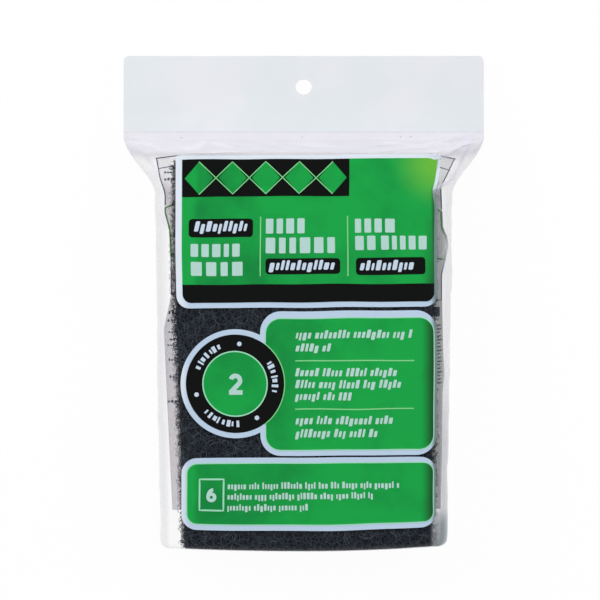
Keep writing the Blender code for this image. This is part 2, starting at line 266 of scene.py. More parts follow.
def fibre_tubes(low, high, layer, overhangs, seed):
    """Curly fibres on a slab. Each is an arc of random curl laid on the slab's surface unrolled, so it wraps
    round the edges, and bows up off the surface by a half sine. A three-sided tube follows its path. They
    reach past the slab's two ends by these overhangs, so they bridge the seams."""
    random = np.random.default_rng(seed)
    count = FIBRE_COUNTS[layer]
    centre = (low + high) / 2
    half = (high - low) / 2 - PAD_SHRINK
    closed, around = measured(rounded_loop(half[0], half[2], PAD_EDGE_RADIUS, 400))
    tangent = np.gradient(closed, around, axis=0)
    outward = np.stack((tangent[:, 1], -tangent[:, 0]), -1)
    girth = around[-1]
    middle = girth / 2 if layer == "front" else 0.0
    reach = half[0] + 2 * half[2]
    start = np.stack((middle + random.uniform(-reach, reach, count),
                      random.uniform(-half[1], half[1], count)), -1)
    fray = np.arange(count) < FRAY_SHARE * count
    edge = middle + random.choice((-1, 1), count) * (half[0] + random.uniform(0.1, 1.9, count) * half[2])
    start[:, 0] = np.where(fray, edge, start[:, 0])
    length = np.where(fray, random.uniform(*FRAY_LENGTHS, count), random.uniform(*FIBRE_LENGTHS, count))
    curl = length / random.uniform(*FIBRE_CURLS, count) * random.choice((-1, 1), count)
    share = np.linspace(0, 1, FIBRE_STEPS)
    heading = random.uniform(0, 2 * np.pi, count)[:, None] + curl[:, None] * (share + 0.25 * share ** 2)
    step = length[:, None] / FIBRE_STEPS
    across = start[:, :1] + np.cumsum(np.cos(heading) * step, axis=1)
    along = start[:, 1:] + np.cumsum(np.sin(heading) * step, axis=1)
    along = np.clip(along, -half[1] - overhangs[0], half[1] + overhangs[1])
    place = across % girth
    ring, normal = at_lengths(place, around, closed), at_lengths(place, around, outward)
    sideways = np.abs(normal[..., :1])
    bow = random.exponential(1.0, (count, 1, 1)).clip(0, 2) * np.sin(np.pi * share)[None, :, None]
    beyond = np.clip(np.abs(along) - half[1] + PAD_END_RADIUS, 0, PAD_END_RADIUS)
    outer = np.where(along < 0, overhangs[0], overhangs[1]) == FIBRE_OVERHANG
    draw = (PAD_END_RADIUS - np.sqrt(PAD_END_RADIUS ** 2 - beyond ** 2)) * outer
    stand = FIBRE_RADIUS + bow * (FACE_LIFT + sideways * (FRAY_LIFT - FACE_LIFT))
    jut = (fray * random.uniform(0.3, 1.0, count) * length)[:, None, None] * share[None, :, None]
    stand = stand + jut * sideways
    lifted = ring + normal * (stand - draw[..., None])
    path = np.stack((lifted[..., 0], along, lifted[..., 1]), -1) + centre
    run = np.gradient(path, axis=1)
    run /= np.linalg.norm(run, axis=-1, keepdims=True) + 1e-12
    up = np.stack((normal[..., 0], np.zeros_like(along), normal[..., 1]), -1)
    side = np.cross(run, up)
    side /= np.linalg.norm(side, axis=-1, keepdims=True) + 1e-12
    up = np.cross(side, run)
    corners = 2 * np.pi * np.arange(3) / 3
    shade = random.beta(*TONE_SPREAD, count) * (1 - 0.7 * fray)
    thickness = FIBRE_RADIUS * (0.8 + 0.6 * shade + 0.6 * fray)[:, None, None]
    tubes = np.stack([path + thickness * (np.cos(a) * side + np.sin(a) * up) for a in corners], 2)
    tone = np.repeat(shade, FIBRE_STEPS * 3)
    strip = grid_faces(FIBRE_STEPS, 3)
    faces = (strip[None] + (np.arange(count) * FIBRE_STEPS * 3)[:, None, None]).reshape(-1, 4)
    first = np.arange(count)[:, None] * FIBRE_STEPS * 3
    caps = np.concatenate((first + [0, 1, 2], first + (FIBRE_STEPS - 1) * 3 + [2, 1, 0]))
    return tubes.reshape(-1, 3), faces[:, ::-1], caps, tone


def fibre_finish():
    """Matt charcoal fibre: a dark ground with a lighter web, each standing fibre in its own tone."""
    material, tree, shader, place = new_finish("dark fibre", Roughness=0.7, Specular_IOR_Level=0.06)
    bend = noise(tree, place, 260.0, 2.0).outputs["Color"]
    shift = add_node(tree, "ShaderNodeVectorMath", bend, (WEB_BEND,) * 3, place, operation="MULTIPLY_ADD")
    webs = []
    for scale, thickness, brightness in WEBS:
        web = add_node(tree, "ShaderNodeTexVoronoi", feature="DISTANCE_TO_EDGE", Vector=shift, Scale=scale)
        webs.append(ramp(tree, web, 0.0, thickness, brightness, 0.0))
    strand = maths(tree, "MAXIMUM", *webs)
    ground = blend(tree, strand, srgb(18, 21, 25), srgb(58, 65, 74))
    tone = carried(tree, "tone")
    standing = blend(tree, tone, srgb(14, 18, 24), srgb(128, 140, 156))
    feed(tree, shader, Base_Color=blend(tree, maths(tree, "GREATER_THAN", tone, 0.001), ground, standing))
    add_relief(tree, shader, strand, 0.8, 0.0003)
    return material


def end_inset(height, radius):
    """How far an edge of this radius draws in near the bag's bottom edge: the gap beside an arc."""
    below = np.clip(radius - height, 0, radius)
    return radius - np.sqrt(radius ** 2 - below ** 2)


def held_in_bag(points):
    """Points kept inside the bag's faces and its bottom end, which rounds in by an arc, so the film presses
    the fibres flat there: depth limits = face minus room minus the gap beside the arc. The front face also
    rolls down along its right side, by the cube of the way across the roll."""
    height = (points[:, 1] - bottom_edge).clip(FILM_ROOM, None)
    inset = end_inset(height, BAG_END_RADIUS) + FILM_ROOM - FILM - FILM_GAP
    roll = RIGHT_ROLL * ((points[:, 0] - RIGHT_ROLL_START) / (flat_edge - RIGHT_ROLL_START)).clip(0, 1.3) ** 3
    depth = points[:, 2].clip(pads_low[2] + inset, pads_high[2] - inset - roll)
    return np.stack((points[:, 0], height + bottom_edge, depth), -1)


def build_pad(node, fibre, seed):
    """One pad in its node's place: a rough slab with its fibres."""
    low, high = (np.array(corner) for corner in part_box(node))
    layer = node.split("_")[1]
    count, rows = PAD_GRIDS[layer]
    rings = pad_rings(low, high, count, rows)
    drift = [smooth_noise(rings, PAD_WAVELENGTHS[0], seed + axis)
             + smooth_noise(rings, PAD_WAVELENGTHS[1], seed + 5 + axis) for axis in range(3)]
    rings = rings + PAD_ROUGHNESS * np.stack(drift, -1)
    overhangs = [FIBRE_OVERHANG if end in node else SEAM_OVERHANG for end in ("bottom", "top")]
    tubes, sides, caps, tone = fibre_tubes(low, high, layer, overhangs, seed)
    first = len(rings) * count
    faces = grid_faces(len(rings), count)[:, ::-1].tolist()
    faces += [list(range(count)), list(range(first - count, first))[::-1]]
    faces += (sides + first).tolist() + (caps + first).tolist()
    points = np.concatenate((rings.reshape(-1, 3), tubes))
    drop = np.clip((TUCK_TOP - points[:, 1]) / (TUCK_TOP - pads_low[1]), 0, 1)
    left = np.clip(-points[:, 0] / pads_high[0], 0, None)
    points[:, 0] += TUCK * drop * left ** 2
    piece = add_piece(node.replace("pad_", "fibre_pad_"), held_in_bag(points), faces, fibre)
    tones = piece.data.attributes.new("tone", "FLOAT", "POINT")
    tones.data.foreach_set("value", np.concatenate((np.zeros(first), 0.02 + 0.98 * tone)).astype(np.float32))
    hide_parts(node)


dark_fibre = fibre_finish()
for number, pad_node in enumerate(sorted(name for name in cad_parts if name.startswith("pad_"))):
    build_pad(pad_node, dark_fibre, seed=11 + 20 * number)


# The film bag
# A tube of thin clear film, flattened and sealed straight across the bottom, wraps both layers of pads. It is
# drawn over their faces and slack beside them, and gathers into the header in ripples and fanned folds.

SIDE_ROOM_BOTTOM = 0.0057
SIDE_ROOM_TOP = 0.0081
CORNER_RADIUS = 0.0030
SHOULDER_BELOW = 0.0138
SHOULDER_ABOVE = 0.0102
FRONT_OVERHANG = 0.0028
BACK_OVERHANG = 0.0010
SHOULDER_LENGTH = 0.0118
LIP_LENGTH = 0.0032
LIP_HEIGHT = 0.0120
HEADER_DROOP = np.radians(14)
STRIP_LAP = 0.0045
STRIP_GAP = 0.0003
MOUTH_GAP = 0.0003
SEALED_HALF_DEPTH = 0.00012
PLEAT_DEPTH = 0.0009
PLEAT_COUNT = 7
FAN_DEPTH = 0.0009
FAN_COUNT = 3
EDGE_WANDER = 0.00030
SHEET_UNEVENNESS = 0.00009
CRUMPLE = 0.00020
CREASE_RISE = 1.9
CRUMPLE_ABOVE = 0.2
FRONT_WAVES, BACK_WAVES = (0.0078, 0.0028), (0.0080, 0.0032)
BACK_SLACK = (0.12, 0.42)
END_SLACK = 0.15
FACE_COLUMNS = {"front": 140, "side": 22, "back": 70}
BAG_ROWS = {"end": 12, "body": 132, "shoulder": 98}
END_SHARES = (0.001, 0.3, 0.6, 0.85)
FULL_CREASE = 0.0008
CREASES = (
    (-0.0385, 0.0641, -0.0448, 0.0606, 0.0008, 0.0007),
    (-0.0385, 0.0641, -0.0271, 0.0614, 0.0007, 0.0007),
    (-0.0460, 0.0592, -0.0260, 0.0596, 0.0006, 0.0005),
    (-0.0510, 0.0625, -0.0400, 0.0607, 0.0005, 0.0008),
    (0.0300, 0.0640, 0.0480, 0.0618, 0.0006, 0.0009),
    (-0.0060, 0.0632, 0.0160, 0.0618, 0.0005, 0.0009),
    (0.0685, 0.0665, 0.0458, 0.0625, 0.0009, 0.0008),
    (0.0680, 0.0655, 0.0520, 0.0560, 0.0010, 0.0009),
    (0.0660, 0.0640, 0.0584, 0.0488, 0.0010, 0.0008),
    (0.0600, 0.0500, 0.0505, 0.0440, 0.0016, 0.0006),
    (-0.0680, 0.0660, -0.0550, 0.0600, 0.0007, 0.0008),
    (-0.0660, 0.0630, -0.0560, 0.0500, 0.0008, 0.0008),
    (-0.0575, 0.0400, -0.0535, 0.0290, 0.0009, 0.0009),
    (0.0570, 0.0300, 0.0550, 0.0060, 0.0006, 0.0010),
)
CREST_COVER = 0.55
# The film's painted dark reflection: the opacity it adds and the masks of its two zones, the lower right
# corner and the right margin.
PAINTED_REFLECTION_COVER = 0.50
PAINTED_REFLECTION_MASKS = (("X", 0.0495, 0.0525, 1.0), ("Y", -0.0740, -0.0890, 1.0),
            ("X", 0.0530, 0.0550, 1.0), ("Y", -0.0200, -0.0600, 0.40))

pads_top = pads_high[1] - bottom_edge
body_depth = pads_high[2] + FILM + FILM_GAP
header_half_width = cad_bounds[1][0]
front_edge = pads_top + FRONT_OVERHANG
back_edge = pads_top + BACK_OVERHANG
header_edge = pads_top + SHOULDER_LENGTH
lip_start = header_edge - LIP_LENGTH
shoulder_start = pads_top - SHOULDER_BELOW
mouth_half_depth = FILM + MOUTH_GAP / 2


def smoothstep(start, end, value):
    """A smooth ramp from 0 at start to 1 at end."""
    share = np.clip((value - start) / (end - start), 0, 1)
    return share * share * (3 - 2 * share)


def mix(low, high, share):
    """The value a share of the way from low to high."""
    return low + (high - low) * share


def half_width(x, height):
    """Distance of the side fold on x's side from the middle: slack beside the pads, which widens a little
    upwards and wanders, then a smooth flare to the header's width."""
    room = mix(SIDE_ROOM_BOTTOM, SIDE_ROOM_TOP, np.clip(height / pads_top, 0, 1))
    side = np.sign(x) * 0.5
    path = np.stack(np.broadcast_arrays(side, height), -1)
    wander = EDGE_WANDER * (smooth_noise(path, 0.022, 3) + 0.4 * smooth_noise(path, 0.006, 4))
    wander = wander * (1 - smoothstep(shoulder_start, front_edge, height)) * smoothstep(0, 0.01, height)
    flare = smoothstep(shoulder_start, pads_top + SHOULDER_ABOVE, height)
    width = mix(pads_high[0] + room, header_half_width, flare)
    return width - end_inset(height, CORNER_RADIUS) + wander


def fold_height(height):
    """Level of the side folds: half the body's depth, then the plane of the drooping header."""
    header = LIP_HEIGHT - np.tan(HEADER_DROOP) * np.clip(height - lip_start, 0, None)
    return mix(body_depth / 2, header, smoothstep(shoulder_start, lip_start, height))


def side_share(x, height):
    """0 over the pads to 1 at the side fold, with the half width that the pads hold flat."""
    edge = half_width(x, height)
    closing = smoothstep(front_edge, lip_start, height)
    flat = mix(flat_edge, edge - 2 * mouth_half_depth, closing)
    return np.clip((np.abs(x) - flat) / (edge - flat), 0, 1), flat


def side_profile(share, height):
    """Level beside the pads, 1 over their edge and 0 at the fold: an arc that slackens to a slope."""
    slackness = 0.7 * smoothstep(shoulder_start, front_edge, height)
    slackness = slackness * (1 - smoothstep(front_edge, lip_start, height))
    return mix(np.sqrt(1 - share ** 2), 1 - share, slackness)


def crease_rise(x, y):
    """Rise of the pinched creases: a crest along each line that falls off exponentially and tapers at its
    ends."""
    total = 0
    for x0, y0, x1, y1, rise, width in CREASES:
        run = np.array((x1 - x0, y1 - y0))
        place = ((x - x0) * run[0] + (y - y0) * run[1]) / (run @ run)
        along = np.clip(place, 0, 1)
        away = np.hypot(x - x0 - along * run[0], y - y0 - along * run[1])
        total = total + CREASE_RISE * rise * np.exp(-away / width) * np.sin(np.pi * (0.08 + 0.84 * along))
    return total


def looseness(x, height):
    """How slack the film is: 0 where the pads hold it, 1 in the shoulder, and towards the side folds 0.15 at
    the left and 0.35 at the right, where the larger share greys the film as painted shade.
    """
    share, _ = side_share(x, height)
    above = smoothstep(pads_top + 0.0012, front_edge + 0.0010, height)
    # The right side's larger share is painted shade: it makes the film there greyer and more opaque.
    return np.maximum(above, np.where(x < 0, 0.15, 0.35) * smoothstep(0.02, 0.6, share))


def crumple(place, height, slack, waves, fine, seed):
    """Soft crumples where the film is slack, calmer on the shoulder's slope, where it is drawn smooth."""
    depth = CRUMPLE * mix(1.0, CRUMPLE_ABOVE, smoothstep(front_edge - 0.003, front_edge + 0.002, height))
    relief = smooth_noise(place, waves[0], seed) + fine * smooth_noise(place, waves[1], seed + 1)
    return depth * slack * relief


def half_mouth(height):
    """Half the depth between the faces at the mouth, which the weld closes further."""
    return mix(mouth_half_depth, SEALED_HALF_DEPTH, smoothstep(lip_start, header_edge, height))


def front_level(x, y):
    """Level of the front film: the pads' flat face, the arc to the side folds, the gathers and fans of the
    shoulder as sine waves in smooth windows, the creases, and a soft unevenness."""
    height = y - bottom_edge
    share, flat = side_share(x, height)
    middle = fold_height(height)
    face = body_depth - end_inset(height, BAG_END_RADIUS)
    front = mix(face, middle + half_mouth(height), smoothstep(front_edge, lip_start, height))
    rise = np.clip((height - front_edge) / (lip_start - front_edge), 0, 1)
    across = np.clip((x + flat) / (2 * flat), 0, 1)
    wave = np.cos(2 * np.pi * PLEAT_COUNT * (across + 0.05 * np.sin(9 * across + 5 * rise)))
    pleat = PLEAT_DEPTH * np.sin(np.pi * rise) ** 2 * wave
    run = np.clip((height - shoulder_start) / (lip_start - shoulder_start), 0, 1)
    fan = FAN_DEPTH * np.sin(np.pi * share) * np.sin(np.pi * run) * np.sin(2 * np.pi * FAN_COUNT * run)
    place = np.stack(np.broadcast_arrays(x, y), -1)
    uneven = SHEET_UNEVENNESS * (smooth_noise(place, 0.019, 7) + 0.5 * smooth_noise(place, 0.008, 8))
    uneven = uneven + crumple(place, height, looseness(x, height), FRONT_WAVES, 0.25, 9) + crease_rise(x, y)
    mouth = 1 - smoothstep(lip_start - 0.001, header_edge - 0.0004, height)
    rolled = RIGHT_ROLL * smoothstep(RIGHT_ROLL_START, flat_edge, x) ** 2 * (1 - share) ** 2
    rolled = rolled * (1 - smoothstep(back_edge, front_edge, height))
    level = mix(middle, front, side_profile(share, height))
    return level + (1 - share) ** 2 * pleat + fan + uneven * mouth * (1 - share ** 3) - rolled


def back_level(x, y):
    """Level of the back film: flat on the table, rising by the same side arc, crumpled where it is slack."""
    height = y - bottom_edge
    share, _ = side_share(x, height)
    middle = fold_height(height)
    lifted = smoothstep(back_edge, lip_start, height)
    back = mix(end_inset(height, BAG_END_RADIUS), middle - half_mouth(height), lifted)
    slack = np.maximum(smoothstep(back_edge, front_edge, height), smoothstep(0.02, 0.6, share))
    uneven = crumple(np.stack(np.broadcast_arrays(x, y), -1), height, slack, BACK_WAVES, 0.2, 12)
    mouth = 1 - smoothstep(lip_start - 0.002, lip_start + 0.001, height)
    return mix(middle, back, side_profile(share, height)) + uneven * mouth * (1 - share ** 3)


def bag_surface():
    """The pouch: its loop of columns, front face, side fold, back face and side fold, at each height. The
    bottom end closes in rings that shrink to a point, the mouth closes inside the header."""
    front, fold, back = FACE_COLUMNS["front"], FACE_COLUMNS["side"], FACE_COLUMNS["back"]
    side = np.sin(np.linspace(0, np.pi / 2, fold + 1))[1:]
    lanes = np.concatenate((np.linspace(-1, 1, front), 1 + side, 1 + side[-2::-1], np.linspace(1, -1, back),
                            -1 - side, -1 - side[-2::-1]))
    is_back = np.arange(len(lanes)) >= front + fold
    is_back[1 - fold:] = False
    arc = np.linspace(0, np.pi / 2, BAG_ROWS["end"] + 1)[:-1]
    mouth = header_edge + (STRIP_LAP - STRIP_GAP) * np.cos(HEADER_DROOP)
    heights = np.concatenate((BAG_END_RADIUS * (1 - np.cos(arc)),
                              np.linspace(BAG_END_RADIUS, shoulder_start, BAG_ROWS["body"]),
                              np.linspace(shoulder_start, mouth, BAG_ROWS["shoulder"])[1:]))
    height, lane = np.meshgrid(heights, lanes, indexing="ij")
    edge = half_width(np.sign(lane), height)
    _, flat = side_share(np.sign(lane), height)
    x = np.where(np.abs(lane) <= 1, lane * flat, np.sign(lane) * mix(flat, edge, np.abs(lane) - 1))
    y = height + bottom_edge
    rings = np.stack((x, y, np.where(is_back, back_level(x, y), front_level(x, y))), -1)
    centre = np.array((0.0, bottom_edge, body_depth / 2))
    end = centre + (rings[:1] - centre) * np.array(END_SHARES)[:, None, None]
    behind = mix(*BACK_SLACK, smoothstep(pads_top, front_edge, height))
    slack = np.where(is_back, behind, looseness(x, height))
    slack = np.concatenate((np.full((len(END_SHARES), len(lanes)), END_SLACK), slack))
    folds = np.clip(crease_rise(x, y) / CREASE_RISE / FULL_CREASE, 0, 1) ** 1.5 * ~is_back
    folds = np.concatenate((np.zeros((len(END_SHARES), len(lanes))), folds))
    return np.concatenate((end, rings)), slack, folds


def greater_product(tree, first, second):
    """The greater of the products of two pairs of masks."""
    return maths(tree, "MAXIMUM", maths(tree, "MULTIPLY", *first), maths(tree, "MULTIPLY", *second))


def film_finish():
    """Clear film: nearly nothing face on, and greyer, milkier and glossier where it turns away or crumples.
    In the lower right corner and down the right margin it is greyer and more opaque, a painted dark
    reflection of the room."""
    material, tree, shader, place = new_finish("clear film", Roughness=0.22, IOR=1.5, Specular_IOR_Level=0.2)
    flattened = add_node(tree, "ShaderNodeVectorMath", place, (1.0, 1.0, 0.2), operation="MULTIPLY")
    slack = carried(tree, "slack")
    crinkle = noise(tree, flattened, 70.0, 3.0, 0.45, 1.2)
    relief = add_relief(tree, shader, crinkle, ramp(tree, slack, low=0.02, high=0.10), 0.0016)
    turned = add_node(tree, "ShaderNodeLayerWeight", Blend=0.35, Normal=relief).outputs["Facing"]
    shade = blend(tree, turned, srgb(218, 216, 227), srgb(246, 245, 252))
    split = add_node(tree, "ShaderNodeSeparateXYZ", place)
    masks = [smooth_ramp(tree, split.outputs[axis], start, end, high=most)
             for axis, start, end, most in PAINTED_REFLECTION_MASKS]
    # Painted reflection: grey colour and extra opacity in the lower right corner and down the right margin.
    painted_reflection = greater_product(tree, masks[:2], masks[2:])
    rim = maths(tree, "MULTIPLY_ADD", turned, ramp(tree, slack, low=0.30, high=0.50),
                ramp(tree, slack, low=0.004, high=0.54))
    crest = maths(tree, "MULTIPLY_ADD", carried(tree, "fold"), CREST_COVER, rim, clamp=True)
    veil = maths(tree, "MULTIPLY_ADD", painted_reflection, PAINTED_REFLECTION_COVER, crest, clamp=True)
    feed(tree, shader, Base_Color=blend(tree, painted_reflection, shade, srgb(128, 141, 148)), Alpha=veil)
    return material


clear_film = film_finish()
bag_rings, bag_slack, bag_folds = bag_surface()
ring_count, column_count = bag_rings.shape[:2]
bag_faces = grid_faces(ring_count, column_count).tolist()
bag_faces.append(list(range(column_count))[::-1])
bag_faces.append(list(range((ring_count - 1) * column_count, ring_count * column_count)))
bag = add_piece("pouch_film", bag_rings, bag_faces, clear_film)
for label, values in (("slack", bag_slack), ("fold", bag_folds)):
    points_data = bag.data.attributes.new(label, "FLOAT", "POINT").data
    points_data.foreach_set("value", values.ravel().astype(np.float32))
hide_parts("film_bag")


# The front print
# Opaque inks lie on the outside of the front film: pale borders first, then green fields, black ones, and
# mint and pale marks on top. Rows of small blocks cross the fields, and a row of lozenges fills the top band.

INK_LIFT = 0.00006
INK_STEP = 0.000045
INK_PITCH = 0.0015
OUTLINE_PITCH = 0.0008
PRINT_DRIFT = ((0.00022, 0.050), (0.00016, 0.035))
PRINT_TILT = 0.006
PRINT_DROP = 0.0001
CORNER_START, CORNER_END = (0.0460, 0.0460), (0.0525, 0.0588)
CORNER_FLARE = 0.0014
CORNER_PINCH = 0.0009
PINCH_LEVEL, PINCH_RUN = 0.0435, 0.0035
BLOCK_SLANT = 0.21
BADGE_CENTRE = (-0.0270, -0.0313)
BADGE_RADIUS = 0.0194
BADGE_BORDER, BADGE_LINE = 0.0215, 0.0196
BADGE_CORE, BADGE_RING = 0.0125, 0.0127
BADGE_ROW = 0.0158
# PALE_HIGHLIGHT is the borders' painted highlight colour.
PALE_BLUE, PALE_HIGHLIGHT = srgb(194, 215, 238), srgb(232, 241, 252)
GREEN_DARK, GREEN_LIGHT, GREEN_BRIGHT = srgb(22, 138, 64), srgb(28, 168, 74), srgb(116, 196, 66)


def print_place(x, y):
    """Where a printed point lies once the film is drawn round the pads: tilted a little and uneven."""
    place = np.stack((x, y), -1)
    drift = [depth * smooth_noise(place, run, 21 + axis) for axis, (depth, run) in enumerate(PRINT_DRIFT)]
    corner = smoothstep(CORNER_START[0], CORNER_END[0], x)
    flare = CORNER_FLARE * smoothstep(CORNER_START[1], CORNER_END[1], y)
    flare = flare - CORNER_PINCH * np.exp(-((y - PINCH_LEVEL) / PINCH_RUN) ** 2)
    return x + drift[0] + corner * flare, y + drift[1] + PRINT_TILT * x - PRINT_DROP


def closed_sheet(x, y, z, thickness, ring=False):
    """A closed thin sheet over a grid of points: its top, its underside and the rim that joins them. A ring's
    columns join up, so its rim is two loops."""
    rows, columns = x.shape
    count = rows * columns
    top = np.stack((x, y, z), -1).reshape(-1, 3)
    faces = grid_faces(rows, columns, closed=ring)
    index = np.arange(count).reshape(rows, columns)
    if ring:
        loops = [index[0], index[-1][::-1]]
    else:
        loops = [np.concatenate((index[0, :-1], index[:-1, -1], index[-1, :0:-1], index[:0:-1, 0]))]
    rims = [np.stack((np.roll(loop, -1), loop, loop + count, np.roll(loop, -1) + count), -1)
            for loop in loops]
    vertices = np.concatenate((top, top - (0, 0, thickness)))
    return vertices, np.concatenate([faces, faces[:, ::-1] + count, *rims])


def join_shapes(shapes):
    """One list of points and faces from several."""
    starts = np.cumsum([0] + [len(vertices) for vertices, _ in shapes[:-1]])
    faces = [face for (_, part), start in zip(shapes, starts) for face in (np.asarray(part) + start).tolist()]
    return np.concatenate([vertices for vertices, _ in shapes]), faces


def ink_on_front(x, y, layer, ring=False):
    """A closed ink sheet over a grid of printed points, on the front film at its layer's height."""
    x, y = print_place(x, y)
    return closed_sheet(x, y, front_level(x, y) + INK_LIFT + layer * INK_STEP, INK_STEP, ring)


def field_between(heights, lefts, rights, pitch=INK_PITCH, crowded=False):
    """A grid that fills the room between a left and a right limit at each height, its columns crowded towards
    both sides by a cosine if asked."""
    columns = max(int(np.ceil((rights - lefts).max() / pitch)) + 1, 3)
    share = np.linspace(0, 1, columns)
    if crowded:
        share = (1 - np.cos(np.pi * share)) / 2
    return lefts[:, None] + (rights - lefts)[:, None] * share, np.repeat(heights[:, None], columns, 1)


def rounded_field(left, right, low, high, low_radius, high_radius=None, turns=9):
    """The grid of a rectangle whose lower and upper corners are arcs of these radii."""
    high_radius = low_radius if high_radius is None else high_radius
    turn = np.linspace(0, np.pi / 2, turns)
    rise, inset = 1 - np.cos(turn), 1 - np.sin(turn)
    steps = max(int(np.ceil((high - low - low_radius - high_radius) / INK_PITCH)), 1)
    straight = np.linspace(low + low_radius, high - high_radius, steps + 1)
    heights = np.concatenate((low + low_radius * rise[:-1], straight, (high - high_radius * rise[:-1])[::-1]))
    draw = np.concatenate((low_radius * inset[:-1], 0 * straight, (high_radius * inset[:-1])[::-1]))
    return field_between(heights, left + draw, right - draw)


def disc_field(centre, radius):
    """The grid of a round field."""
    turn = np.linspace(0.02, np.pi - 0.02, 16 + int(radius / 0.0004))
    heights = centre[1] - radius * np.cos(turn)
    return field_between(heights, centre[0] - radius * np.sin(turn), centre[0] + radius * np.sin(turn))


def line_along(points, width, ring=False):
    """The grid of a line of this width along a path. A ring's path runs anticlockwise and joins its start."""
    points = np.asarray(points, float)
    if ring:
        run = np.roll(points, -1, 0) - np.roll(points, 1, 0)
    else:
        run = np.gradient(points, axis=0)
    run /= np.linalg.norm(run, axis=1, keepdims=True)
    right = np.stack((run[:, 1], -run[:, 0]), -1) * width / 2
    if ring:
        grid = np.stack((points + right, points - right))
    else:
        grid = np.stack((points - right, points, points + right), 1)
    return grid[..., 0], grid[..., 1]


def arc_path(centre, radius, start, end, steps):
    """Points along an arc between two angles in degrees."""
    turn = np.radians(np.linspace(start, end, steps))
    return np.stack((centre[0] + radius * np.cos(turn), centre[1] + radius * np.sin(turn)), -1)


def even_path(corners):
    """Points at an even pitch along straight runs between corners, which are kept."""
    corners = np.asarray(corners, float)
    parts = [np.linspace(a, b, max(int(np.linalg.norm(b - a) / INK_PITCH), 1), endpoint=False)
             for a, b in zip(corners[:-1], corners[1:])]
    return np.concatenate((*parts, corners[-1:]))


def outline_of(x, y):
    """The outline of a field's grid, anticlockwise: up its right side and down its left."""
    return np.concatenate((np.stack((x[:, -1], y[:, -1]), -1), np.stack((x[::-1, 0], y[::-1, 0]), -1)))


def key_line(field, width):
    """The grid of a line of this width round a field."""
    path = outline_of(*rounded_field(*field))
    return line_along(evenly_spaced(path, int(measured(path)[1][-1] / OUTLINE_PITCH)), width, ring=True)


def block_row(left, right, low, high, size, seed, slant=0.0, group=(3, 9)):
    """Grids of small blocks in a row: groups of a few blocks, some of them reaching higher or lower."""
    random = np.random.default_rng(seed)
    base, top = mix(low, high, 0.18), mix(low, high, 0.78)
    grids, place, left_in_group = [], left, random.integers(*group)
    while place + 0.5 * size < right:
        width = size * random.uniform(0.42, 0.78)
        reach = random.choice((0, 0, 0, 1, 1, 2), 1)[0]
        bottom, crown = (low if reach == 2 else base), (high if reach == 1 else top)
        x, y = rounded_field(place, min(place + width, right), bottom, crown, size * 0.18, turns=3)
        grids.append((x + slant * (y - base), y))
        place += width + 0.30 * size
        left_in_group -= 1
        if left_in_group == 0:
            place += 0.6 * size
            left_in_group = random.integers(*group)
    return grids


def tall_blocks(left, right, low, high, count, seed):
    """Grids of this many blocks of one height that fill the room from left to right."""
    random = np.random.default_rng(seed)
    weights = random.uniform(0.72, 1.25, count)
    gap = 0.33 * (right - left) / count
    widths = (right - left - gap * (count - 1)) * weights / weights.sum()
    starts = left + np.concatenate(([0.0], np.cumsum(widths + gap)[:-1]))
    return [rounded_field(start, start + width, low, high, 0.0004, turns=4)
            for start, width in zip(starts, widths)]


def ink_finish(name, colour, gloss=0.13):
    """Ink under a thin gloss, a little mottled where it was laid on, and its tree, shader, place and tint."""
    material, tree, shader, place = new_finish(name, Roughness=0.34, Specular_IOR_Level=gloss)
    dark, light = ((*[min(share * value, 1.0) for value in colour[:3]], 1.0) for share in (0.93, 1.06))
    tint = blend(tree, noise(tree, place, 70.0, 3.0, 0.55), dark, light)
    feed(tree, shader, Base_Color=tint)
    add_relief(tree, shader, noise(tree, place, 900.0, 2.0), 0.10, 0.0002)
    return material, tree, shader, place, tint


def green_ink_finish():
    """Green ink: darker towards the left, with a painted highlight near the left ends of the top and bottom
    fields, yellower towards the top right corner, and painted shade, dark green, where the film turns down at
    the right and along the pinch."""
    material, tree, shader, place, tint = ink_finish("green ink", GREEN_LIGHT, gloss=0.08)
    x, y = add_node(tree, "ShaderNodeSeparateXYZ", place).outputs[:2]
    blotch = maths(tree, "MULTIPLY_ADD", noise(tree, place, 42.0, 4.0, 0.6), 2.8, -1.35)
    share = maths(tree, "ADD", ramp(tree, x, -0.075, 0.040), blotch, clamp=True)
    # Painted highlight: lit brightens the ink near the left ends of the top and bottom fields.
    lit = maths(tree, "ADD", share, smooth_ramp(tree, x, -0.0405, -0.0455), clamp=True)
    feed(tree, tint, Factor=lit, A=GREEN_DARK, B=GREEN_LIGHT)
    corner = add_node(tree, "ShaderNodeVectorMath", place, (0.0530, 0.0560, 0.0250), operation="DISTANCE")
    bright = blend(tree, smooth_ramp(tree, corner, 0.0, 0.020, 0.95, 0.0), tint, GREEN_BRIGHT)
    # Painted shade: dark green where the film rolls down at the right edge, and a narrow dark line along the
    # right edge below the pinch.
    painted_roll_shade = smooth_ramp(tree, x, 0.0455, 0.0522), smooth_ramp(tree, y, 0.0480, -0.0120)
    painted_pinch_shade = smooth_ramp(tree, x, 0.0497, 0.0514, high=0.75), smooth_ramp(tree, y, 0.0475, 0.0440)
    shade = greater_product(tree, painted_roll_shade, painted_pinch_shade)
    feed(tree, shader, Base_Color=blend(tree, shade, bright, srgb(28, 58, 34)))
    return material


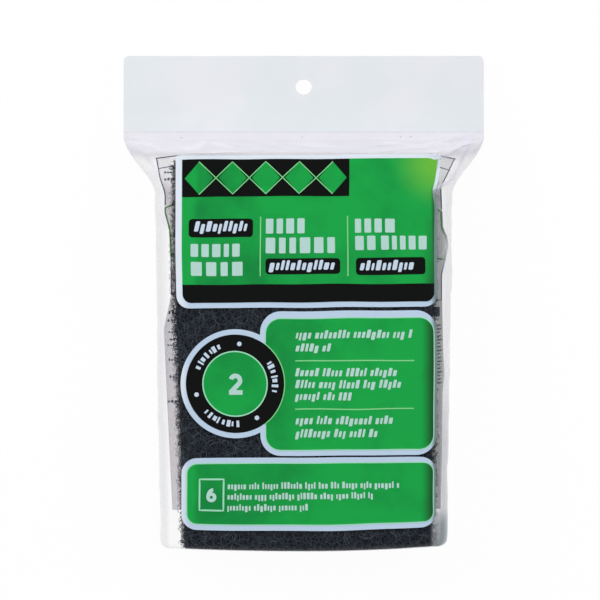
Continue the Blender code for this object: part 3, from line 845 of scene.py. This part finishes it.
def border_ink_finish():
    """Pale blue ink, whiter along the top and the left, where the film lifts off the pads, as a painted
    highlight, and grey as painted shade in the fold at the right."""
    material, tree, shader, place, tint = ink_finish("pale blue ink", PALE_BLUE)
    x, y = add_node(tree, "ShaderNodeSeparateXYZ", place).outputs[:2]
    # Painted highlight: lifted makes the ink whiter along the top and the left.
    lifted = maths(tree, "MAXIMUM", smooth_ramp(tree, y, 0.020, 0.058),
                   smooth_ramp(tree, x, -0.0445, -0.0490))
    feed(tree, tint, Factor=lifted, A=PALE_BLUE, B=PALE_HIGHLIGHT)
    # Painted shade: grey in the fold at the right.
    shade = maths(tree, "MULTIPLY", smooth_ramp(tree, x, 0.0498, 0.0518, high=0.92),
                  smooth_ramp(tree, y, 0.0480, 0.0420))
    feed(tree, shader, Base_Color=blend(tree, shade, tint, srgb(112, 130, 130)))
    return material


def add_sheets(name, shapes, ink):
    """These sheets of one ink as one piece on the film."""
    return add_piece(name, *join_shapes(shapes), ink, sharp=True)


def add_ink(name, grids, ink, layer, ring=False):
    """One ink: all its fields at one layer as one piece on the front film."""
    return add_sheets(name, [ink_on_front(x, y, layer, ring) for x, y in grids], ink)


green_ink = green_ink_finish()
pale_ink = border_ink_finish()
black_ink = ink_finish("black ink", srgb(10, 11, 11), gloss=0.06)[0]
mint_ink = ink_finish("mint ink", srgb(132, 220, 146))[0]
text_ink = ink_finish("pale text ink", srgb(186, 222, 214))[0]
badge_ink = ink_finish("badge white ink", srgb(206, 223, 242))[0]

# A field is its left, right, low and high edges and its corners' radius, the upper corners' own one last.
BORDERS = ((-0.0504, 0.0527, -0.0014, 0.0588, 0.0052, 0.0008), (-0.0173, 0.0525, -0.0598, -0.0028, 0.0083),
           (-0.0481, 0.0522, -0.0894, -0.0605, 0.0059))
TOP_FIELD = (-0.0479, 0.0515, 0.0007, 0.0572, 0.0035, 0.0003)
MIDDLE_FIELD = (-0.0152, 0.0513, -0.0576, -0.0056, 0.0059)
BOTTOM_FIELD = (-0.0460, 0.0513, -0.0871, -0.0627, 0.0039)
FOOT_BAND = (-0.0479, 0.0515, 0.0007, 0.0078, 0.0035, 0.0001)
PATTERN = (-0.0479, 0.0179, 0.0425, 0.0572, 0.0001)
PILLS = ((-0.0452, -0.0200, 0.0265, 0.0338, 0.0014), (-0.0149, 0.0143, 0.0117, 0.0180, 0.0014),
         (0.0204, 0.0480, 0.0114, 0.0182, 0.0014))
LOZENGES = 5
LOZENGE_MARGIN = 0.0010
LOZENGE_HALF_WIDTH = 0.42
COUNT_BOX = (-0.0409, -0.0314, -0.0814, -0.0689)

add_ink("ink_borders", [rounded_field(*field) for field in BORDERS], pale_ink, 0)
add_ink("ink_badge_border", [disc_field(BADGE_CENTRE, BADGE_BORDER)], pale_ink, 1)
add_ink("ink_green_fields", [rounded_field(*field) for field in (TOP_FIELD, MIDDLE_FIELD, BOTTOM_FIELD)],
        green_ink, 2)
black_fields = [rounded_field(*field) for field in (FOOT_BAND, PATTERN, *PILLS)]
add_ink("ink_black_fields", black_fields + [disc_field(BADGE_CENTRE, BADGE_RADIUS)], black_ink, 3)

pattern_middle = (PATTERN[2] + PATTERN[3]) / 2
pattern_half = (PATTERN[3] - PATTERN[2]) / 2 - LOZENGE_MARGIN
pattern_pitch = (PATTERN[1] - PATTERN[0]) / LOZENGES
lozenge_places = PATTERN[0] + pattern_pitch * (np.arange(LOZENGES) + 0.5)
lozenge_heights = np.linspace(-0.98, 0.98, 21)
lozenge_reach = LOZENGE_HALF_WIDTH * pattern_pitch * (1 - np.abs(lozenge_heights))
lozenges = [field_between(pattern_middle + pattern_half * lozenge_heights, place - lozenge_reach,
                          place + lozenge_reach) for place in lozenge_places]
add_ink("ink_green_marks", lozenges + [disc_field(BADGE_CENTRE, BADGE_CORE)], green_ink, 4)

zigzags = [[(place, pattern_middle + way * (-1) ** step * pattern_half * 0.999)
            for step, place in enumerate(lozenge_places)] for way in (-1, 1)]
mint_lines = [line_along(even_path(path), 0.0004) for path in zigzags]
mint_lines += [line_along(even_path([(x, 0.0109), (x, 0.0346)]), 0.0005) for x in (-0.0170, 0.0173)]
mint_lines += [line_along(even_path([(-0.0034, y), (0.0435, y)]), 0.0005) for y in (-0.0224, -0.0415)]
mint_lines.append(line_along(arc_path(BADGE_CENTRE, BADGE_LINE, -54, 54, 40), 0.0004))
add_ink("ink_mint_lines", mint_lines, mint_ink, 5)
count_frame = even_path([(COUNT_BOX[side], COUNT_BOX[end])
                         for side, end in ((0, 2), (1, 2), (1, 3), (0, 3), (0, 2))])[:-1]
key_ink = ink_finish("mint key ink", srgb(164, 230, 196))[0]
badge_ring = arc_path(BADGE_CENTRE, BADGE_RING, 0, 360, 97)[:-1]
add_ink("ink_mint_rings", [line_along(count_frame, 0.0007, ring=True),
                           line_along(badge_ring, 0.0005, ring=True)],
        key_ink, 5, ring=True)
add_ink("ink_key_lines", [key_line(MIDDLE_FIELD, 0.0004), key_line(BOTTOM_FIELD, 0.0004)],
        key_ink, 2.5, ring=True)

# A row is its left, right, low and high edges. Tall blocks also have their count, and the rows in a field
# have their left edge, size, seed and slant in common.
TALL_ROWS = (
    (-0.0444, -0.0251, 0.0188, 0.0239, 5), (-0.0444, -0.0239, 0.0113, 0.0168, 4),
    (-0.0149, 0.0005, 0.0279, 0.0338, 4), (-0.0149, 0.0123, 0.0200, 0.0263, 6),
    (0.0202, 0.0360, 0.0279, 0.0334, 4), (0.0202, 0.0282, 0.0212, 0.0267, 2),
    (0.0304, 0.0486, 0.0212, 0.0267, 5),
)
PILL_ROWS = ((-0.0432, -0.0224, 0.0279, 0.0329), (-0.0136, 0.0124, 0.0125, 0.0173),
             (0.0218, 0.0440, 0.0124, 0.0172))
FIELD_ROWS = (
    (-0.0034, 0.0019, 60, BLOCK_SLANT, (
        (0.0435, -0.0143, -0.0103), (0.0115, -0.0194, -0.0155), (0.0372, -0.0293, -0.0253),
        (0.0403, -0.0340, -0.0300), (0.0194, -0.0387, -0.0348), (0.0348, -0.0482, -0.0442),
        (0.0293, -0.0533, -0.0493))),
    (-0.0298, 0.0014, 70, 0.0, (
        (0.0387, -0.0734, -0.0702), (0.0277, -0.0775, -0.0744), (0.0029, -0.0819, -0.0787))),
)
blocks = [grid for number, row in enumerate(TALL_ROWS) for grid in tall_blocks(*row, seed=40 + number)]
pill_blocks = [grid for number, row in enumerate(PILL_ROWS)
               for grid in block_row(*row, size=0.0024, seed=50 + number, slant=BLOCK_SLANT, group=(20, 21))]
add_ink("ink_pill_marks", pill_blocks, badge_ink, 4)
for row_left, size, seed, slant, rows in FIELD_ROWS:
    for number, (row_right, low, high) in enumerate(rows):
        blocks += block_row(row_left, row_right, low, high, size, seed + number, slant)
badge_bars = [line_along(arc_path(BADGE_CENTRE, BADGE_ROW, place, place + 2.6 + 1.3 * (place % 3), 6),
                         0.0019 + 0.0007 * (place % 2))
              for start, end in ((112, 163), (-12, 37), (222, 280)) for place in range(start, end - 3, 7)]
badge_dots = [disc_field(arc_path(BADGE_CENTRE, BADGE_ROW, angle, angle, 1)[0], 0.0009)
              for angle in (84, 195, 302)]
add_ink("ink_text_blocks", blocks, text_ink, 4)
add_ink("ink_badge_marks", badge_bars + badge_dots, badge_ink, 5)


def numeral_two(left, right, low, high, stroke):
    """Ink sheets of a 2: a bow over the top that runs straight down to the foot, and the foot's bar."""
    radius = (right - left - stroke) / 2
    bow = arc_path((left + stroke / 2 + radius, high - stroke / 2 - radius), radius, 165, -45, 24)
    bow = np.concatenate((bow, even_path([bow[-1], (left + 0.55 * stroke, low + 0.7 * stroke)])[1:]))
    foot = even_path([(left, low + stroke / 2), (right, low + stroke / 2)])
    return [ink_on_front(*line_along(bow, stroke), 5), ink_on_front(*line_along(foot, stroke), 5.5)]


def numeral_six(left, right, low, high, stroke):
    """Ink sheets of a 6: a round bowl, and a quarter of an ellipse that rises from its left side."""
    radius = (right - left - stroke) / 2
    centre = (left + stroke / 2 + radius, low + stroke / 2 + radius)
    turn = np.linspace(0, np.pi / 2, 16)
    stem = np.stack((centre[0] + radius * (0.55 - 1.55 * np.cos(turn)),
                     centre[1] + (high - stroke / 2 - centre[1]) * np.sin(turn)), -1)
    bowl = arc_path(centre, radius, 0, 360, 41)[:-1]
    return [ink_on_front(*line_along(bowl, stroke, ring=True), 5, ring=True),
            ink_on_front(*line_along(stem, stroke), 5.5)]


# A numeral is its left, right, low and high edges and its stroke.
TWO = (-0.0295, -0.0241, -0.0356, -0.0273, 0.0018)
SIX = (-0.0382, -0.0342, -0.0781, -0.0724, 0.0014)
add_sheets("ink_digits", numeral_two(*TWO) + numeral_six(*SIX), text_ink)

# Four pinholes let the air out of the bag just below the header; each is drawn as a small grey disc, painted
# shade standing in for the hole.
VENTS = (-0.0483, -0.0007, 0.0383, 0.0423)
VENT_HEIGHT = 0.0658
VENT_RADIUS = 0.0002
pinhole_shades = [disc_field((x, VENT_HEIGHT), VENT_RADIUS) for x in VENTS]
add_ink("film_pinholes", pinhole_shades, ink_finish("pinhole", srgb(96, 96, 104))[0], 0)


# The back print
# The back film carries a thin white panel with a blue keyline, green bars and rows of small blocks. From the
# front only its two sides show, drawn up round the pads through the clear margins.

BACK_INK = 0.00004
BACK_PITCH = 0.0016
PANEL_HEIGHTS = (-0.0820, 0.0576)
PANEL_ROWS = 96
BACK_LEFT = ((-0.0820, -0.0519), (-0.0100, -0.0553), (0.0030, -0.0525), (0.0180, -0.0527), (0.0290, -0.0531),
             (0.0360, -0.0550), (0.0437, -0.0550), (0.0496, -0.0570), (0.0580, -0.0585))
BACK_RIGHT = ((-0.0820, 0.0541), (-0.0600, 0.0546), (-0.0350, 0.0549), (-0.0276, 0.0556), (-0.0180, 0.0551),
              (0.0015, 0.0547), (0.0115, 0.0547), (0.0172, 0.0560), (0.0228, 0.0571),
              (0.0261, 0.0568), (0.0298, 0.0550), (0.0463, 0.0544), (0.0488, 0.0558), (0.0580, 0.0602))


def edge_of(route, y):
    """The back panel's edge at these heights, run straight from each of its places to the next."""
    places = np.array(route)
    return np.interp(y, places[:, 0], places[:, 1])


def upright_line(route, low, high, inset, width):
    """The grid of a line that follows the panel's edge from one height to another."""
    y = np.linspace(low, high, max(int((high - low) / BACK_PITCH), 3))
    return line_along(np.stack((edge_of(route, y) + inset, y), -1), width)


def cross_line(left, right, low, high, width):
    """The grid of a nearly level line."""
    return line_along(even_path([(left, low), (right, high)]), width)


def back_panel_finish():
    """The back panel's thin white ink, which lets light through: pinkish at the left, and greyer and more
    opaque at the right, a painted shade of the fold.
    """
    material, tree, shader, place, tint = ink_finish("back white ink", (0.7, 0.7, 0.7))
    x, y = add_node(tree, "ShaderNodeSeparateXYZ", place).outputs[:2]
    # Painted shade: greyer and more opaque towards the right, where the fold shades the panel.
    side = ramp(tree, x, -0.02, 0.02)
    feed(tree, tint, Factor=side, A=srgb(206, 194, 208), B=srgb(152, 168, 160))
    veil = maths(tree, "MULTIPLY", ramp(tree, side, low=0.34, high=0.52),
                 smooth_ramp(tree, y, 0.0430, 0.0510, 1.0, 0.35))
    turned = add_node(tree, "ShaderNodeLayerWeight", Blend=0.5).outputs["Facing"]
    feed(tree, shader, Alpha=maths(tree, "MULTIPLY", veil, ramp(tree, turned, 0.25, 0.90, 1.0, 0.25)))
    return material


def add_back_ink(name, grids, ink, layer=0):
    """One ink of the back print as one piece on the outside of the back film."""
    shapes = [closed_sheet(x, y, back_level(x, y) - layer * BACK_INK, BACK_INK) for x, y in grids]
    add_sheets(name, shapes, ink)


panel_heights = np.linspace(*PANEL_HEIGHTS, PANEL_ROWS)
back_panel = field_between(panel_heights, edge_of(BACK_LEFT, panel_heights),
                           edge_of(BACK_RIGHT, panel_heights), BACK_PITCH, crowded=True)
blue_lines = [upright_line(*line) for line in (
    (BACK_LEFT, 0.0036, 0.0190, 0.0003, 0.00035), (BACK_LEFT, 0.0390, 0.0575, 0.0003, 0.00045),
    (BACK_RIGHT, 0.0014, 0.0172, -0.0003, 0.00035), (BACK_RIGHT, 0.0375, 0.0570, -0.0003, 0.00045))]
blue_lines += [cross_line(*line) for line in (
    (-0.0584, -0.0490, 0.0574, 0.0586, 0.00045), (-0.0572, -0.0490, 0.0534, 0.0549, 0.00035),
    (0.0600, 0.0500, 0.0571, 0.0592, 0.00045), (0.0578, 0.0500, 0.0526, 0.0552, 0.00035),
    (-0.0524, -0.0505, 0.0036, 0.0042, 0.00035), (0.0542, 0.0505, 0.0014, 0.0017, 0.00035))]
green_lines = [upright_line(*line) for line in (
    (BACK_LEFT, 0.0190, 0.0378, 0.0003, 0.00065), (BACK_RIGHT, 0.0172, 0.0362, -0.0004, 0.00090))]
green_lines += [cross_line(*line) for line in (
    (-0.0549, -0.0512, 0.0378, 0.0394, 0.00050), (-0.0527, -0.0512, 0.0188, 0.0193, 0.00050),
    (0.0545, 0.0515, 0.0362, 0.0378, 0.00050), (0.0560, 0.0525, 0.0172, 0.0181, 0.00060))]
small_blocks = []
for number, y in enumerate((0.0512, 0.0484)):
    small_blocks += block_row(-0.0551, -0.0480, y, y + 0.0014, size=0.0012, seed=90 + number)
for number, y in enumerate((-0.0072, -0.0119, -0.0148, -0.0170, -0.0229, -0.0296, -0.0393)):
    row_left = -0.0538 + 0.0004 * (number % 3)
    small_blocks += block_row(row_left, -0.0475, y, y + 0.0014, size=0.0013, seed=110 + number)
for number, y in enumerate(np.arange(-0.0740, 0.0500, 0.0058)):
    reach = (0.0440, 0.0380, 0.0180)[number % 3]
    small_blocks += block_row(-0.0440, reach, y, y + 0.0022, size=0.0015, seed=150 + number)
bars = [cross_line(0.0500, 0.0546 - 0.0004 * (number % 3), y, y + 0.0010, 0.0006)
        for number, y in enumerate(np.arange(-0.0320, -0.0080, 0.00142))]
heading_blocks = [rounded_field(0.0505, 0.0538, -0.0050, -0.0012, 0.0005),
                  *block_row(-0.0534, -0.0490, -0.0046, -0.0022, size=0.0017, seed=130)]
add_back_ink("back_ink_panel", [back_panel], back_panel_finish(), layer=5)
for label, grids, name, colour in (
        ("blue", blue_lines, "back blue ink", srgb(66, 88, 150)),
        ("heading_marks", heading_blocks, "back slate ink", srgb(100, 108, 120)),
        ("green", green_lines, "back green ink", srgb(90, 200, 72)),
        ("bars", bars, "back bar ink", srgb(150, 156, 162)),
        ("small_print", small_blocks, "back grey ink", srgb(150, 151, 166))):
    add_back_ink("back_ink_" + label, grids, ink_finish(name, colour)[0])


# The header
# A strip of thicker milky film is folded along its top edge and welded over the bag's mouth by a crimped
# line. It droops towards the table past the pads, hangs in gentle waves and has a round hang hole.

HEADER_CORNER_RADIUS = 0.0020
STRIP_LEAF = 0.00025
STRIP_TAPER = 0.0030
STRIP_POINTS, STRIP_RINGS = 320, 42
LAP_HALF_DEPTH = 0.00032
LIP_THINNING = 0.00014
LIP_RUN = 0.0030
HANG_HOLE_RADIUS = 0.003175
HANG_HOLE_FROM_TOP = 0.0126
HEADER_WAVES = 0.00035
HEADER_WAVE_START = 0.012
CRIMP_PITCH = 0.0017
CRIMP_DEPTH = 0.00005
CRIMP_PLACE, CRIMP_WIDTH = 0.0008, 0.0005

header_low, header_high = (corner.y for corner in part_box("header_strip"))
header_length = (header_high - header_low) / np.cos(HEADER_DROOP)
lip_level = fold_height(header_edge)


def strip_surface():
    """Both faces of the strip as rings from the hang hole out to the rounded outline. Its distance along the
    strip gives the thickness, which is greater where the bag's mouth lies inside, and the droop."""
    hole = np.array((0.0, header_length - HANG_HOLE_FROM_TOP))
    field = rounded_field(-header_half_width, header_half_width, 0.0, header_length, 0.0001,
                          HEADER_CORNER_RADIUS)
    outline = evenly_spaced(np.concatenate(([[0.0, 0.0]], outline_of(*field))), STRIP_POINTS)
    angle = np.linspace(-np.pi / 2, 1.5 * np.pi, STRIP_POINTS, endpoint=False)
    rim = hole + HANG_HOLE_RADIUS * np.stack((np.cos(angle), np.sin(angle)), -1)
    flat = rim + (outline - rim) * np.linspace(0, 1, STRIP_RINGS)[:, None, None] ** 1.3
    across, up = flat[..., 0], flat[..., 1]
    lap = smoothstep(STRIP_LAP, STRIP_LAP + STRIP_TAPER, up)
    half_depth = mix(LAP_HALF_DEPTH, STRIP_LEAF, lap) - LIP_THINNING * (1 - smoothstep(0, LIP_RUN, up))
    soft = smoothstep(STRIP_LAP, STRIP_LAP + HEADER_WAVE_START, up)
    waves = HEADER_WAVES * soft * (smooth_noise(flat, 0.060, 31, 5) + 0.35 * smooth_noise(flat, 0.018, 32))
    crimp = CRIMP_DEPTH * (1 + np.cos(2 * np.pi * across / CRIMP_PITCH))
    crimp = crimp * np.exp(-((up - CRIMP_PLACE) / CRIMP_WIDTH) ** 2)
    faces = []
    for way in (1, -1):
        level = waves + way * (half_depth + crimp)
        y = header_low + up * np.cos(HEADER_DROOP) + level * np.sin(HEADER_DROOP)
        z = lip_level - up * np.sin(HEADER_DROOP) + level * np.cos(HEADER_DROOP)
        faces.append(np.stack((across, y, z), -1))
    return np.concatenate((faces[0], faces[1][::-1]))


def milky_finish():
    """Milky film: satin, faintly clouded, with a soft sheen that drifts across the strip."""
    material, tree, shader, place = new_finish("milky film", Roughness=0.42, Specular_IOR_Level=0.14)
    drift = ramp(tree, noise(tree, place, 30.0, 3.0), 0.38, 0.66)
    feed(tree, shader, Base_Color=blend(tree, drift, srgb(224, 230, 233), srgb(231, 232, 237)))
    add_relief(tree, shader, noise(tree, place, 600.0, 3.0), 0.12, 0.0003)
    return material


strip_rings = strip_surface()
strip_count, strip_columns = strip_rings.shape[:2]
strip_faces = grid_faces(strip_count, strip_columns)
closing = grid_faces(2, strip_columns)
last_row = np.where(closing >= strip_columns, closing - strip_columns,
                    closing + (strip_count - 1) * strip_columns)
strip_faces = np.concatenate((strip_faces, last_row))[:, ::-1]
strip = add_piece("header_film", strip_rings, strip_faces, milky_finish(), sharp=True)
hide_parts("header_strip")


# The setting
# A plain white table under even light: a long lens straight above, broad lamps low at the sides so that the
# flat film mirrors none of them, and a floor that keeps a soft shadow.

FLOOR_DROP = 0.0004
FLOOR_REACH = 3.0
FLOOR_GLOW = 0.965
WHITE = (1.0, 1.0, 1.0, 1.0)
CAMERA_CENTRE = (-0.00146, 0.00148)
CAMERA_DISTANCE = 10.0
CAMERA_RANGE = 200.0
SENSOR_WIDTH = 36.0
PICTURE_WIDTH = 0.2364
ROOM_LIGHT = 0.36
LAMP_SIZE = 0.6
LAMPS = (("left", (-1.0, 0.45, 0.80), 8.4), ("right", (1.0, 0.15, 0.75), 4.4), ("top", (0.1, 1.0, 0.8), 3.4))


def floor_finish():
    """White, mostly glowing, with a small share that takes light and shadow."""
    material = bpy.data.materials.new("white table")
    material.use_nodes = True
    tree = material.node_tree
    tree.nodes.remove(tree.nodes["Principled BSDF"])
    lit = add_node(tree, "ShaderNodeBsdfDiffuse", Color=WHITE)
    glow = add_node(tree, "ShaderNodeEmission", Color=WHITE, Strength=1.0)
    surface = add_node(tree, "ShaderNodeMixShader", FLOOR_GLOW, lit, glow)
    feed(tree, tree.nodes["Material Output"], Surface=surface)
    return material


def add_lamp(name, place, power):
    """A square lamp that faces the pack's middle."""
    lamp = bpy.data.lights.new(name, "AREA")
    lamp.size = LAMP_SIZE
    lamp.energy = power
    stand = bpy.data.objects.new(name, lamp)
    stand.location = place
    direction = -stand.location
    stand.rotation_euler = direction.to_track_quat("-Z", "Y").to_euler()
    bpy.context.scene.collection.objects.link(stand)


floor_mesh = bpy.data.meshes.new("table_top")
floor_corners = np.array(((-1, -1, 0), (1, -1, 0), (1, 1, 0), (-1, 1, 0))) * FLOOR_REACH - (0, 0, FLOOR_DROP)
floor_mesh.from_pydata(floor_corners.tolist(), [], [(0, 1, 2, 3)])
floor_mesh.materials.append(floor_finish())
table_top = bpy.data.objects.new("table_top", floor_mesh)
bpy.context.scene.collection.objects.link(table_top)

for label, stand_place, power in LAMPS:
    add_lamp("lamp_" + label, stand_place, power)

world = bpy.data.worlds.new("white room")
world.use_nodes = True
room = world.node_tree
ray = add_node(room, "ShaderNodeLightPath").outputs
seen = maths(room, "MAXIMUM", ray["Is Camera Ray"], ray["Is Transmission Ray"])
mirrored = maths(room, "MAXIMUM", seen, ray["Is Glossy Ray"])
feed(room, room.nodes["Background"], Color=WHITE, Strength=ramp(room, mirrored, low=ROOM_LIGHT))
bpy.context.scene.world = world

camera = bpy.data.cameras.new("camera")
camera.lens = SENSOR_WIDTH * CAMERA_DISTANCE / PICTURE_WIDTH
camera.clip_end = CAMERA_RANGE
viewer = bpy.data.objects.new("camera", camera)
viewer.location = (*CAMERA_CENTRE, CAMERA_DISTANCE + body_depth)
bpy.context.scene.collection.objects.link(viewer)
bpy.context.scene.camera = viewer
bpy.context.scene.view_settings.view_transform = "Standard"
